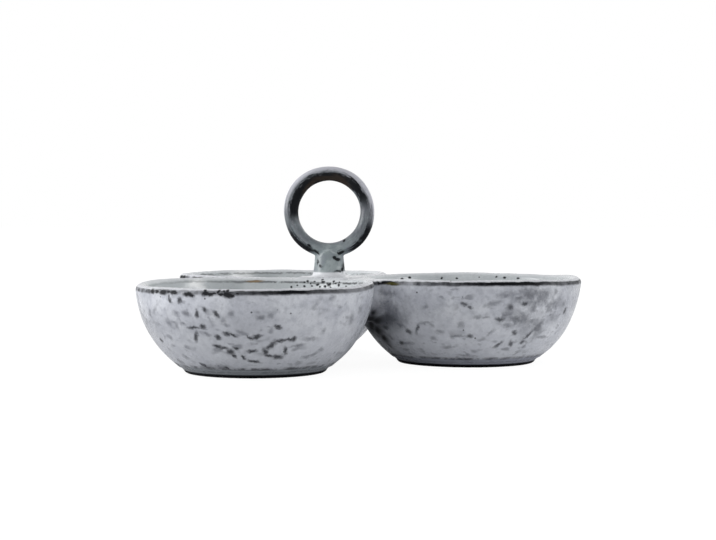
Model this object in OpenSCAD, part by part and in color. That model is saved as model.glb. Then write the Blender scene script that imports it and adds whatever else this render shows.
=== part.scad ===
// Triple serving bowl: three round stoneware bowls luted together round a landing
// that carries one ring handle. Each bowl is a wall on a base. Millimetres, +Z up, standing on Z = 0.
// The right bowl lies along +X. The origin is under the middle of the whole outline.

/* [Bowls] */
// Outside width of each bowl at its rim
bowl_d = 125; // [112:1:140]
// Height of the rims above the table
bowl_h = 47.2; // [42:0.2:54]
// Thickness of a bowl's wall, which is also the width of its round lip
wall = 5.5; // [4:0.5:7]
// Height of the inside floor above the table
floor_z = 7.5; // [6.5:0.5:10]
// Radius that rounds the inside floor into the wall
floor_fillet = 16; // [8:1:24]

/* [Feet] */
// Width of a foot where it stands
foot_d = 73.4; // [64:0.2:80]
// Height of the foot, up to the shoulder under the belly
foot_h = 3.6; // [2.6:0.2:5]
// How far the side of the foot leans out over its height
foot_flare = 2; // [1:0.2:3]
// Width of the shoulder between the foot and the belly
shoulder_w = 1.6; // [0.6:0.2:3]
// Radius of the foot's lower edges
foot_edge = 1; // [0.6:0.1:1.2]
// Width of the ring that a foot stands on
foot_ring_w = 5.6; // [4:0.2:8]
// Depth of the hollow inside the foot
recess_h = 2.4; // [1:0.2:3]

/* [Joining] */
// Gap between neighbouring rims where they are closest
rim_gap = 3; // [2:0.25:5]
// Radius of the hollow curve by which one rim flows into the next
seam_fillet = 5; // [4:0.5:8]
// How far the saddles and the landing lie below the lips
saddle_dip = 1; // [0.6:0.1:1.6]
// How deep a seam reaches below the lips
seam_depth = 23; // [18:1:28]
// Radius of the landing among the bowls
landing_r = 20; // [18:0.5:24]
// Thickness of the landing
landing_t = 7; // [5:0.5:10]

/* [Handle] */
// Height of the stem, up to the middle of the ring's coil
stem_h = 13.4; // [10:0.2:22]
// Width of the finger hole
hole_d = 35; // [30:0.5:38]
// Thickness of the ring, from its hole to its outside
ring_t = 8; // [6.5:0.5:10]
// Depth of the ring, from front to back
ring_depth = 10; // [9:0.5:13]
// Width of the stem where it meets the ring
neck_w = 16; // [14:0.5:18]
// Width of the stem where it stands on the landing
stem_w = 18; // [16.5:0.5:20]
// How far the handle stands off the middle, away from the right bowl
handle_shift = 3.8; // [0:0.2:5]
// Height of the stem's standing face above the lips
stem_rise = 2.2; // [1:0.2:3.5]
// Radius of the flare that runs from the stem's foot down to the landing
flare_r = 3.4; // [2.4:0.2:4.4]

/* [Hidden] */
$fn = 144;

// Steps along the round stretches of an outline
edge_steps = 3;
low_steps = 3;
belly_steps = 10;
lip_steps = 5;
curve_steps = 1;
fillet_steps = 4;

bowl_angles = [0, 120, 240];
seam_angles = [60, 180, 300];
bowl_clay = [0.68, 0.71, 0.76];
joint_clay = [0.75, 0.77, 0.80];
handle_clay = [0.52, 0.55, 0.58];

// Rim and lip
rim_r = bowl_d / 2;
lip_r = wall / 2;

// The belly is one arc from the foot's shoulder to the lip, centred at lip height
foot_r = foot_d / 2;
shoulder_r = foot_r + foot_flare + shoulder_w;
belly_in = rim_r - shoulder_r;
belly_drop = bowl_h - foot_h;
belly_r = (belly_in * belly_in + belly_drop * belly_drop) / (2 * belly_in);
shoulder_angle = asin(belly_drop / belly_r);
lip_angle = asin(lip_r / (belly_r - lip_r));
lip_x = rim_r - lip_r;
lip_z = bowl_h - lip_r;
belly_x = lip_x - (belly_r - lip_r) * cos(lip_angle);

// The inside is a parallel arc that a smaller one rounds into the floor
cup_r = belly_r - wall;
fillet_z = floor_z + floor_fillet;
fillet_drop = bowl_h - fillet_z;
fillet_reach = cup_r - floor_fillet;
fillet_x = belly_x + sqrt(fillet_reach * fillet_reach - fillet_drop * fillet_drop);
fillet_angle = asin(fillet_drop / fillet_reach);

// The wall parts from the base square to both faces, just above the rounding of the floor
parting_share = 0.9;
parting_angle = parting_share * min(fillet_angle, shoulder_angle);

// The side of the foot leans out, and its lower edges are rounded
foot_lean = atan(foot_flare / foot_h);
foot_edge_x = foot_r - foot_edge * (1 - sin(foot_lean)) / cos(foot_lean);
foot_in_r = foot_r - foot_ring_w;

// The bowls stand on a circle whose middle is off the origin
bowl_pitch = bowl_d + rim_gap;
orbit_r = bowl_pitch / sqrt(3);
middle_x = -orbit_r / 4;
handle_x = middle_x - handle_shift;

// A seam's outside curve mirrors the belly about its own upright axis.
// The two surfaces cross by a small share of the curve, so no seam has a feather edge.
bite_share = 0.08;
mirror_d = rim_r + seam_fillet;
curve_d = mirror_d - bite_share * seam_fillet;
side_x = bowl_pitch / (2 * sqrt(3));
curve_x = side_x + sqrt(curve_d * curve_d - bowl_pitch * bowl_pitch / 4);
seam_top = bowl_h - saddle_dip;
keel_share = 1.15;
keel_r = keel_share * seam_depth;
keel_z = bowl_h - seam_depth + keel_r;
keel_x = (landing_r + curve_x - seam_fillet) / 2;

// Handle
hole_r = hole_d / 2;
coil_r = hole_r + ring_t / 2;
ring_r = hole_r + ring_t;
stem_base_z = bowl_h + stem_rise;
stem_top_z = stem_base_z + stem_h;
ring_z = stem_top_z + coil_r;
neck_side_share = 0.84;
neck_depth = neck_side_share * ring_depth;

// Points along an arc about [x, z], from one angle to another
function arc(x, z, r, from, to, steps, first = 0) = [
    for (i = [first:steps])
        let (angle = from + (to - from) * i / steps)
        [x + r * cos(angle), z + r * sin(angle)]
];

// The stretches of a bowl's outline, from the foot's edge up to the top of the lip
foot_points = concat(
    arc(foot_edge_x, foot_edge, foot_edge, -90, -foot_lean, edge_steps),
    [[foot_r + foot_flare, foot_h]]
);
low_points = arc(belly_x, bowl_h, belly_r, -shoulder_angle, -parting_angle, low_steps);
belly_points = arc(belly_x, bowl_h, belly_r, -parting_angle, -lip_angle, belly_steps);
lip_points = arc(lip_x, lip_z, lip_r, -lip_angle, 90, lip_steps, 1);
upper_points = concat(arc(belly_x, bowl_h, belly_r, -parting_angle, -lip_angle, belly_steps, 1), lip_points);

// The solid whose surface is the outside of one bowl
module outside_form() {
    rotate_extrude() polygon(concat([[0, 0]], foot_points, low_points, upper_points, [[0, bowl_h]]));
}

// The wall of one bowl about its own axis, with its round lip
module wall_form() {
    rotate_extrude() polygon(concat(
        belly_points,
        lip_points,
        arc(lip_x, lip_z, lip_r, 90, 180 - lip_angle, lip_steps, 1),
        arc(belly_x, bowl_h, cup_r, -lip_angle, -parting_angle, belly_steps, 1)
    ));
}

// The base of one bowl about its own axis: foot, floor, and the hollow inside the foot
module base_form() {
    rotate_extrude() polygon(concat(
        [[foot_in_r, recess_h], [foot_in_r, 0]],
        foot_points,
        low_points,
        arc(belly_x, bowl_h, cup_r, -parting_angle, -fillet_angle, curve_steps),
        arc(fillet_x, fillet_z, floor_fillet, -fillet_angle, -90, fillet_steps, 1),
        [[0, floor_z], [0, recess_h]]
    ));
}

// Puts what follows on the axis of the bowl at this angle
module at_bowl(angle) {
    translate([middle_x + orbit_r * cos(angle), orbit_r * sin(angle), 0]) rotate(angle) children();
}

// The outsides of all three bowls, to cut what lies among them
module all_outsides() {
    for (angle = bowl_angles) at_bowl(angle) outside_form();
}

// The hollow curve outside a seam: the bowl's outline mirrored about the seam's own axis
module seam_curve() {
    mirrored = [for (point = concat(low_points, upper_points)) [mirror_d - point[0], point[1]]];
    rotate_extrude() polygon(concat([[0, bowl_h], [0, foot_h]], mirrored));
}

// One seam: clay pressed between two walls, with a keel that rises at both ends.
// In plan it fills the kite between the middle, the two bowls' axes and its own curve's axis.
module seam(angle) {
    side_y = bowl_pitch / 2;
    translate([middle_x, 0, 0]) rotate(angle) difference() {
        intersection() {
            linear_extrude(height = seam_top)
                polygon([[0, 0], [side_x, -side_y], [curve_x, 0], [side_x, side_y]]);
            translate([keel_x, 0, keel_z]) rotate([90, 0, 0])
                cylinder(r = keel_r, h = bowl_pitch, center = true);
        }
        translate([side_x, side_y, 0]) rotate(90) outside_form();
        translate([side_x, -side_y, 0]) rotate(-90) outside_form();
        cylinder(r = landing_r, h = bowl_h);
        translate([curve_x, 0, 0]) seam_curve();
    }
}

module bowl_right() { color(bowl_clay) at_bowl(bowl_angles[0]) wall_form(); }
module bowl_back() { color(bowl_clay) at_bowl(bowl_angles[1]) wall_form(); }
module bowl_front() { color(bowl_clay) at_bowl(bowl_angles[2]) wall_form(); }
module base_right() { color(bowl_clay) at_bowl(bowl_angles[0]) base_form(); }
module base_back() { color(bowl_clay) at_bowl(bowl_angles[1]) base_form(); }
module base_front() { color(bowl_clay) at_bowl(bowl_angles[2]) base_form(); }
module seam_back_right() { color(joint_clay) seam(seam_angles[0]); }
module seam_front_back() { color(joint_clay) seam(seam_angles[1]); }
module seam_front_right() { color(joint_clay) seam(seam_angles[2]); }

// The landing fills the space among the rims and flares up to the stem
module landing() {
    flare_top_r = stem_w / 2;
    color(joint_clay) difference() {
        union() {
            translate([middle_x, 0, seam_top - landing_t]) cylinder(r = landing_r, h = landing_t);
            translate([handle_x, 0, 0]) rotate_extrude() difference() {
                translate([0, seam_top - landing_t / 2])
                    square([flare_top_r + flare_r, stem_base_z - seam_top + landing_t / 2]);
                translate([flare_top_r + flare_r, seam_top + flare_r]) circle(r = flare_r);
            }
        }
        all_outsides();
    }
}

// The ring, a flattened coil about a level axis
module ring_form() {
    corner = ring_t / 2;
    flat = ring_depth - ring_t;
    translate([handle_x, 0, ring_z]) rotate([90, 0, 0]) rotate_extrude() {
        translate([coil_r, flat / 2]) circle(r = corner);
        translate([coil_r, -flat / 2]) circle(r = corner);
        translate([hole_r, -flat / 2]) square([ring_t, flat]);
    }
}

// The stem: a tapered peg, pinched front and back to the depth of the ring that it cradles
module handle_stem() {
    foot_half = stem_w / 2;
    neck_half = neck_w / 2;
    color(handle_clay) difference() {
        translate([handle_x, 0, 0]) intersection() {
            translate([0, 0, stem_base_z]) cylinder(r1 = foot_half, r2 = neck_half, h = stem_h);
            rotate([90, 0, 90]) linear_extrude(height = 2 * stem_w, center = true) polygon([
                [-foot_half, stem_base_z],
                [foot_half, stem_base_z],
                [neck_depth / 2, stem_top_z],
                [-neck_depth / 2, stem_top_z]
            ]);
        }
        ring_form();
    }
}

module handle_ring() { color(handle_clay) ring_form(); }

bowl_right();
bowl_back();
bowl_front();
base_right();
base_back();
base_front();
seam_back_right();
seam_front_back();
seam_front_right();
landing();
handle_stem();
handle_ring();
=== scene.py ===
"""A triple serving bowl in mottled blue-grey glaze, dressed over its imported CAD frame.

The clay is one smooth body, as glaze makes it: every part of the pot is a distance field, and the
fields are blended where they meet. One net of quads is drawn over the blend and shared out among
the parts, so each CAD part has its own closed piece and no crack shows between them.
Modelling is in millimetres; the scene is in metres.
"""

import math

import bpy
import numpy as np
from mathutils import Matrix, Vector


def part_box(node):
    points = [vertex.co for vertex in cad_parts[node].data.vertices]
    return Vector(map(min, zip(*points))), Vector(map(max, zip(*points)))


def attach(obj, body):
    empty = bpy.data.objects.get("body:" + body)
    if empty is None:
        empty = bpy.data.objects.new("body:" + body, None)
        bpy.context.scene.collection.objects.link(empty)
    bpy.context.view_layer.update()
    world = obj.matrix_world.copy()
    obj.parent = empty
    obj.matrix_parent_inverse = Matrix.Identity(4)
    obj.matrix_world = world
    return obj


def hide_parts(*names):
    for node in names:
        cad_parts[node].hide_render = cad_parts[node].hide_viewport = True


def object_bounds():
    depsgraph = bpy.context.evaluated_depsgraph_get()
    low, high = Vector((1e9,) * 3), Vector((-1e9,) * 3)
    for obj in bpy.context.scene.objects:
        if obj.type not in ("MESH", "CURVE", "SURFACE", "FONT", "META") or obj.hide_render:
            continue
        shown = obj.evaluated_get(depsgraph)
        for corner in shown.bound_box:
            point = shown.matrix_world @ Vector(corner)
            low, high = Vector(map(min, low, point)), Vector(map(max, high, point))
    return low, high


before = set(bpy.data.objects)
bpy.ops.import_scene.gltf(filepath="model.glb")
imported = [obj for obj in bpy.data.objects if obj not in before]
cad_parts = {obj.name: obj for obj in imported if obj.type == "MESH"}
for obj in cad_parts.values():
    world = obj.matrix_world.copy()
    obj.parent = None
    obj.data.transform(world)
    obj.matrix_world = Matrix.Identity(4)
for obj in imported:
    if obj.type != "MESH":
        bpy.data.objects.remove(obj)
cad_low, cad_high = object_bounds()

MM = 0.001
TINY = 1e-6

# Image and camera, as fitted to the photograph
IMAGE_WIDTH = 716
IMAGE_HEIGHT = 540
FOCAL_PX = 1629.2
SENSOR_MM = 36
CAMERA_PLACE = np.array([59.7, -912.0, 85.8])
CAMERA_TILT = 1.5328
CAMERA_TURN = 0.0720
# The walk along a sight line: its start, its steps, and the share of the way left that a step takes
SIGHT_START = 600
SIGHT_STEPS = 150
SIGHT_SHARE = 0.7


def node_box(name):
    """Lowest and highest corner of a CAD node, in millimetres."""
    low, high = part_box(name)
    return np.array(low) / MM, np.array(high) / MM


# Sizes read from the frame
BOWLS = ("right", "back", "front")
wall_low, wall_high = node_box("bowl_right")
ring_low, ring_high = node_box("handle_ring")
stem_low, stem_high = node_box("handle_stem")
RIM_R = (wall_high[0] - wall_low[0]) / 2
RIM_Z = wall_high[2]
CENTRES = {
    name: (sum(node_box("bowl_" + name)) / 2)[:2]
    for name in BOWLS
}
PITCH = np.linalg.norm(CENTRES["back"] - CENTRES["front"])
MIDDLE_X = sum(centre[0] for centre in CENTRES.values()) / len(BOWLS)
RING_R = (ring_high[0] - ring_low[0]) / 2
RING_X = (ring_high[0] + ring_low[0]) / 2
RING_SAG = 0.6
RING_Z = (ring_high[2] + ring_low[2]) / 2 - RING_SAG
RING_DEPTH = ring_high[1] - ring_low[1]
STEM_BASE_Z = stem_low[2]
STEM_BASE_HALF = (stem_high[0] - stem_low[0]) / 2

# Sizes repeated from the part's source
WALL = 5.5
FLOOR_Z = 7.5
CORNER_R = 16
FOOT_R = 36.7
FOOT_H = 3.6
FOOT_FLARE = 2
SHOULDER = 1.6
FLARE_SPREAD = 3.4
FLARE_RISE = 3.2
FOOT_EDGE = 1
FOOT_RING = 5.6
RECESS = 2.4
VALLEY_R = 5
SADDLE_DIP = 1
SEAM_DEPTH = 23
STEM_OVERLAP = 5
STEM_CORNER = 2.5
KEEL_SHARE = 1.15
LANDING_R = 20
LANDING_T = 7
RING_T = 8
NECK_HALF = 7.5
NECK_SIDE = 5.2

# The belly's arc and the lip
LIP_R = WALL / 2
SHOULDER_R = FOOT_R + FOOT_FLARE + SHOULDER
BELLY_IN = RIM_R - SHOULDER_R
BELLY_DROP = RIM_Z - FOOT_H
BELLY_R = (BELLY_IN**2 + BELLY_DROP**2) / (2 * BELLY_IN)
LIP_X = RIM_R - LIP_R
LIP_Z = RIM_Z - LIP_R
LIP_SLOPE = LIP_R / math.sqrt((BELLY_R - LIP_R) ** 2 - LIP_R**2)
BELLY_X = LIP_X - LIP_R / LIP_SLOPE
CUP_R = BELLY_R - WALL
CORNER_Z = FLOOR_Z + CORNER_R
CORNER_X = BELLY_X + math.sqrt((CUP_R - CORNER_R) ** 2 - (RIM_Z - CORNER_Z) ** 2)

# The seams between the bowls
SIDE_Y = PITCH / 2
SIDE_X = PITCH / (2 * math.sqrt(3))
MIRROR_D = RIM_R + VALLEY_R
VALLEY_X = SIDE_X + math.sqrt(MIRROR_D**2 - SIDE_Y**2)
SEAM_TOP = RIM_Z - SADDLE_DIP
KEEL_R = KEEL_SHARE * SEAM_DEPTH
KEEL_Z = RIM_Z - SEAM_DEPTH + KEEL_R
KEEL_X = (LANDING_R + VALLEY_X - VALLEY_R) / 2
SEAMS = {"back_right": 60, "front_back": 180, "front_right": 300}
# How much higher than the others each saddle lies
SADDLE_RISE = {"back_right": 0, "front_back": -0.4, "front_right": 0.9}

# How far seams and landing bite into a wall, and how softly each part blends with the rest
BITE = 2
BOWL_SOFT = 1
SEAM_SOFT = 1.4
LANDING_SOFT = 4
STEM_SOFT = 3
RING_SOFT = 0.9
FOOT_SOFT = 3
# Near 1, so that the stem's flare ends just short of level, and the least slope near the stem's axis
FLARE_SHARE = 0.999
AXIS_SLOPE = 1e-4

# The net: its step, the room round the pot and round each part, and how its points settle on the surface
NET_STEP = 0.9
NET_MARGIN = 3 * NET_STEP
PAD = 6
FAR = 20
EDGE_KEEP = 0.02
SETTLE_ROUNDS = 3
LEAST_SLOPE = 0.5
SLOPE_STEP = 0.2
PLAN_STEP = 0.1

# Humps of each rim above the common level: direction from the bowl's own axis, width and height
RIM_HUMPS = {
    "right": [(-90, 40, 1.0), (80, 60, 0.2), (15, 14, 0.6), (-140, 22, 0.2), (-60, 20, 0.2)],
    "back": [(90, 55, -0.9), (-90, 50, -0.6), (176, 18, -0.8)],
    "front": [
        (-82, 48, -0.7), (80, 55, -0.7), (140, 24, 0.5),
        (14, 26, 0.8), (-145, 30, -1.2), (-33, 22, -0.8),
    ],
}
# Ripples of each rim: how many go round it, their height and where they start
RIPPLES = {
    "right": [(3, 0.12, 1.1), (5, 0.1, 5)],
    "back": [(3, 0.12, 1.1), (5, 0.1, 4)],
    "front": [(3, 0.12, 1.1), (5, 0.1, 5)],
}
# How much fuller the lower belly is on one side: direction, width and depth, and the margin under the rim
BELLY_HUMPS = {"right": (-172, 38, 2.2), "back": (20, 50, 0.4), "front": (-60, 50, 0.4)}
HUMP_MARGIN = 8
# How oval each bowl is and in which direction, and the height from which its rim is free to be uneven
OVAL = {"right": (0.3, 20), "back": (0.35, 70), "front": (0.3, 130)}
RIM_FREE_FROM = 14
# Soft lumps all over: height, size and seed, and the height over the table at which they are full
LUMPS = ((0.2, 30, 3), (0.08, 11, 8))
LUMP_WAVES = 12
LUMP_SPREAD = (0.75, 1.35)
LUMPS_FULL_Z = 8

# Dark lines by direction from each bowl's axis: a base value, and lobes with direction, width and
# height. They say how strong the line of dark glaze under the lip is, how ragged it is, and how strong the
# line inside is, which is partly painted shade where the inner wall meets a saddle
LINE_LOBES = {
    "right": (0.41, [(-139, 9, 0.5), (-70, 26, 0.22), (-122, 9, -0.08)]),
    "back": (0.42, [(150, 50, 0.15), (60, 40, 0.1)]),
    "front": (0.36, [
        (-73, 24, 0.15), (-64, 7, 0.1), (-48, 12, 0.04),
        (9, 5, 0.3), (-8, 9, 0.08), (-118, 12, -0.09),
    ]),
}
RAGGED_LOBES = {
    "right": (0.05, [(120, 90, 0.4)]),
    "back": (0.4, [(90, 60, 0.4)]),
    "front": (0.05, [(-145, 42, 0.1), (130, 60, 0.4)]),
}
INNER_LOBES = {
    "right": (0.0, [(-90, 60, 0.5)]),
    "back": (0.7, []),
    "front": (0.2, [(80, 50, 0.8), (28, 22, 0.7)]),
}
# The painted shade in each crease between two bowls: how far out, how far to the side and how high
CREASE_SHADE_PLACE = (48.0, 6.0, 26.0)
CREASE_SHADE_REACH = (14.0, 13.0, 9.0)
# The painted shade down the flank of the right bowl, where the front bowl shades it: direction and width,
# the heights between which it fades, and its depth
FLANK_SHADE_LOBE = (195, 38)
FLANK_SHADE_FADE = (24, 42)
FLANK_SHADE_DEPTH = 0.6
# How far the rims' heights blend, and the dip of the crest at a saddle: share, half width and start
RIM_BLEND = 4
DIP_SHARE = 0.6
DIP_HALF = 5
DIP_FADE = (10, 20)
# How deep in the wall, and from which height, a point counts as inside a bowl
INSIDE_FADE = (0.5 * WALL, 0.8 * WALL)
INSIDE_MARGIN = 2

# Studio light: the floor, the surroundings in front of and behind the pot and how they change from front to
# back, and the lamps' places in metres, widths and powers
FLOOR_REACH = 6
FLOOR_COLOUR = (0.9, 0.9, 0.9, 1)
FLOOR_GLOW = 1.1
FLOOR_GLOW_SHARE = 0.86
ROOM_FRONT = 0.29
ROOM_BACK = 1
ROOM_LEAN = 0.25
LAMP_AIM = (0, 0, 0.03)
LAMPS = (
    ("key", (-1.3, -0.3, 0.3), 0.6, 10.5),
    ("side", (1.2, -0.2, 0.25), 0.4, 3.5),
    ("low_front", (0.1, -1.5, 0.2), 0.9, 4.4),
)


def tone(red, green, blue):
    """A colour as the eye reads it on a screen, from 0 to 255, made linear."""
    values = [channel / 255 for channel in (red, green, blue)]
    return (*[v / 12.92 if v <= 0.04045 else ((v + 0.055) / 1.055) ** 2.4 for v in values], 1.0)


PALE = tone(203, 206, 213)
BODY = tone(184, 187, 196)
CLOUD = tone(128, 132, 142)
# the tone of stains and strokes, and of painted shade in the creases and on the ring's flanks
STAIN_AND_SHADE = tone(62, 65, 74)
INK = tone(8, 9, 14)
LOW_PAINTED_LIGHT = tone(228, 231, 238)
INSIDE = tone(210, 215, 216)
INSIDE_LOW = tone(166, 174, 176)
LIP = tone(226, 228, 232)
FOOT = tone(134, 140, 146)
FOOT_BLUE = tone(144, 148, 162)
OLIVE = tone(66, 63, 24)
# the white of painted reflections
GLARE = tone(250, 251, 252)
RUST = tone(146, 126, 100)
# the stem's paler mottle, and the tone of the painted highlight on the arch
ARCH = tone(190, 199, 200)
HANDLE = tone(134, 144, 147)
RING = tone(90, 95, 102)
# pale flecks on the ring, and the tone of its painted highlight
HANDLE_PALE = tone(186, 187, 196)
UNDERSIDE = tone(50, 43, 38)

# Noise patterns: size in millimetres, detail, roughness and distortion
CLOUD_NOISE = (17, 4, 0.6, 0.4)
FINE_NOISE = (2.6, 3, 0.6)
MOTTLE_NOISE = (5.5, 4, 0.6)
WANDER_NOISE = (6, 4, 0.65)
BLOTCH_NOISE = (5.5, 3, 0.6)
CLUSTER_NOISE = (16, 2)
LARGE_DABS = (7.5, 1, 0.4, 0.1)
SMALL_DABS = (3.8, 1, 0.4, 0.1)
DAB_SQUASH = (1, 1, 1.7)
STREAK_NOISE = (7, 6, 0.75)
STREAK_SPREAD = (26, 40)
STRAY_NOISE = (2.2, 3, 0.65)
PINPRICK_PITCH = 6

# Fades by height over the table: where a mask starts, where it is full, and how strong it then is
STROKES_LOW = (40, 6, 0.08)
# the belly's painted light, paler towards the foot
BELLY_PAINTED_LIGHT = (38, 12, 0.45)
INSIDE_POOL = (24, 8, 0.7)
FOOT_TONED = (5.6, 4.4, 0.85)
FOOT_LINE_FROM = (4.2, 4.9)
FOOT_LINE_TO = (6.6, 5.5)
# bare dark clay and painted contact shadow along the standing edge
STANDING_EDGE = (2.3, 1.5)
# Fades by depth below the crest, on the rim and then on the handle
CREST_FROM = (1.8, 0.6)
CREST_TO = (-6, -3)
LINE_FROM = (0.7, 1.15)
LINE_TO = (3.7, 2.3)
INNER_FROM = (1.3, 1.9)
INNER_TO = (3.1, 2.3)
STEM_ROOT = (-3.9, -3)
ON_RING = (-14, -24)
# LIT_HEIGHT bounds the ring's painted highlight, BLACK_HEIGHT its black and painted shade
LIT_HEIGHT = (-20, -25, 0.95)
BLACK_HEIGHT = (-13, -16, 0.97)
# Black on the ring, partly black glaze and partly painted shade on the sides that face away from the light:
# its direction, how it leans to the right, its fade round the ring, and its fades across the band, which
# runs from the ring's inside (-1) to its outside (1)
RING_BLACK_AND_SHADE = [
    (120, 0.15, (0.12, 0.5), [(0.48, 0.1)]),
    (40, 0, (0.76, 0.98), [(0.6, 0.3), (-0.95, -0.6)]),
    (-85, 0, (0.15, 0.5), [(0.12, 0.5)]),
    (0, 0, (0.75, 0.9, 0.45), [(0.3, 0.55), (0.8, 0.66)]),
]

# Roughness of bowls and handle, and how high the unevenness of the glaze is
BOWL_ROUGHNESS = 0.18
HANDLE_ROUGHNESS = 0.3
BUMP_HEIGHT = 0.25

# How marks are laid: softness of their edges, and how far these stray in millimetres
GLARE_EDGE = (0.6, 2)
CLOUD_EDGE = (0.95, 8)
SMUDGE_EDGE = (0.95, 3.6)
MARK_EDGE = (0.75, 3.2)
DARK_AND_SHADE_STRAY = 1.8
PINHOLE_EDGE = (0.35, 1.2)
WARM_EDGE = (0.5, 1)
# How deep under the surface a mark reaches, and how far the soft edge of a mark may reach past its size
MARK_DEPTH = 2
MARK_REACH = 2
# The most that a mark is stretched where the surface turns away from the photograph's camera
MOST_STRETCH = 2.5

# Marks in the glaze, and painted highlights and shadow: pixel x and y in the photograph, length and width in
# millimetres, and tilt in degrees
FRONT_MARKS = [
    (197, 313.8, 3.6, 1.9, 88), (204.6, 309.6, 3.4, 1.9, -50), (216.2, 314.4, 3.4, 1.9, -50),
    (170, 300.4, 2.6, 1.3, -62), (168.7, 296.6, 2.6, 0.7, 88), (179.6, 300.6, 2.6, 2.2, 60),
    (202.6, 326.6, 2.6, 2.2, 0), (193.5, 327.8, 5.5, 1.3, 0), (196, 337, 4.6, 1.8, 80),
    (217.6, 337.4, 2.6, 1.9, -50), (227.4, 333.6, 4, 1.6, -10), (233, 335, 3.6, 1.2, -20),
    (250.5, 337.3, 4.2, 1.5, -22), (257.3, 336.8, 4.4, 1.7, 14), (278.1, 327.2, 3.4, 1.8, -10),
    (271.4, 345.4, 6, 2.4, 38), (281, 340.6, 6.5, 1.5, 5), (289.6, 339.4, 4.5, 1.3, 6),
    (294, 338.9, 2.4, 1.9, 20), (265.2, 352, 3.6, 2.2, -70), (269, 355.8, 3.8, 1.6, -20),
    (276.8, 356.8, 4.6, 2, -8), (285.4, 351, 3.8, 1.9, 88), (218, 346.6, 4.6, 1.6, -12),
    (224.4, 348.2, 4.2, 1.5, -5), (230.6, 351.4, 3, 2.6, -30), (234, 355.4, 3.2, 1.4, -45),
    (236, 348.4, 2.8, 1.3, -30), (251.7, 351.2, 4.8, 1.7, 0), (243.4, 357, 2.6, 1.5, -60),
    (254, 361.4, 5.6, 1.2, -12), (202, 364.6, 2.6, 0.9, -45), (204.6, 365.4, 3, 1.1, -48),
    (227, 368.4, 2.4, 1.2, 0), (161.8, 340.7, 2.2, 1.2, -30),
]
FRONT_SMUDGES = [
    (260.6, 317.9, 4, 2.2, 0), (271, 315.4, 2.2, 2.4, 70), (306, 357.3, 3.6, 1.8, 0),
    (298.7, 363.4, 3, 1.6, 0), (310, 339, 6.4, 1.8, 0), (323.7, 330.4, 1.8, 2.8, 0),
    (351.2, 319, 5.2, 1.8, 76), (360.6, 309.2, 3.2, 1.5, 85), (320.6, 349.7, 2.6, 1.8, 60),
    (241, 332.2, 4.6, 1.4, -25), (296, 346, 6, 1, 12), (168.5, 323, 3.6, 2, -60),
    (176.5, 326, 3.8, 1.5, -65), (173, 322.5, 4, 1.3, -10), (182.6, 323.6, 2.6, 1.6, -20),
    (154.2, 310.4, 2.6, 1.6, 60), (149.6, 312.6, 3, 1.4, 75), (175.8, 313.6, 3.4, 2.2, -30),
    (187, 315, 3.4, 2.4, 0), (223.4, 320.6, 2.2, 2.4, 0), (226, 324.6, 3.4, 1.4, -20),
    (231, 314.2, 2.4, 2.4, 0), (207, 334.4, 3.2, 1.6, -15), (186, 357, 3.4, 1.4, -25),
    (179.5, 361, 2.8, 1.2, -50), (210, 366.8, 5, 1.8, -10), (222, 367, 5, 2.2, 0),
]
FRONT_RIM_MARKS = [
    (152.8, 291.4, 3.2, 2.6, 0), (157.6, 291.8, 2.8, 1.3, 0), (163.2, 292, 5.4, 2.8, 0),
    (168.8, 292, 2.6, 1.2, 0), (173.6, 292.4, 5, 2.4, -5), (188, 294.2, 6.2, 2.8, 0),
    (191, 295.4, 3.6, 2.2, 0), (205.4, 293.6, 5, 2.8, 0), (210, 294.6, 4.2, 2.2, 5),
    (204.8, 290.8, 2, 1.4, 60), (214, 293.4, 2.8, 1.4, 10), (218.6, 291.4, 3, 1.6, 45),
    (221, 294.2, 3.6, 1.9, -5), (227.3, 294.8, 6.2, 3.2, -8), (231.6, 295.8, 3.2, 2.2, 0),
    (227.3, 290.8, 2.2, 1.6, 70), (224, 291.6, 1.8, 1.2, -40), (238, 293.6, 3, 1.2, 0),
]
FRONT_PINHOLES = [
    (304.4, 282.2, 1.4, 1.2, 0), (307.5, 281, 1.5, 1.2, 0), (304.4, 286.4, 1.5, 1.4, 0),
    (317.5, 284.5, 2.1, 1.5, 20), (323.1, 282, 2.4, 1.5, 0), (325, 286.4, 1.7, 1.4, 0),
    (329.4, 284.5, 2.7, 1.8, 30), (333.8, 281.4, 1.5, 1.2, 0), (338.8, 285.1, 1.4, 1.7, 0),
    (291.3, 287, 1.2, 1.4, 0), (312, 286, 1.4, 1, 0), (310.6, 283.7, 1.3, 1, 0), (319.8, 286.8, 1.3, 1, 20),
    (327.6, 283.6, 1.3, 1, 0), (330.6, 287.2, 1.2, 0.9, 0), (335.6, 283.4, 1.1, 1, 0),
    (297.4, 285.4, 1.1, 0.9, 0), (314.4, 281.4, 1.2, 0.8, 0), (339.4, 282.4, 1.2, 0.9, 0),
    (322.4, 279.6, 1.4, 0.9, 0), (346, 286.4, 1, 0.8, 0),
]
FRONT_RUST = [(255, 281.2, 9, 1.3, 2)]
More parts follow.
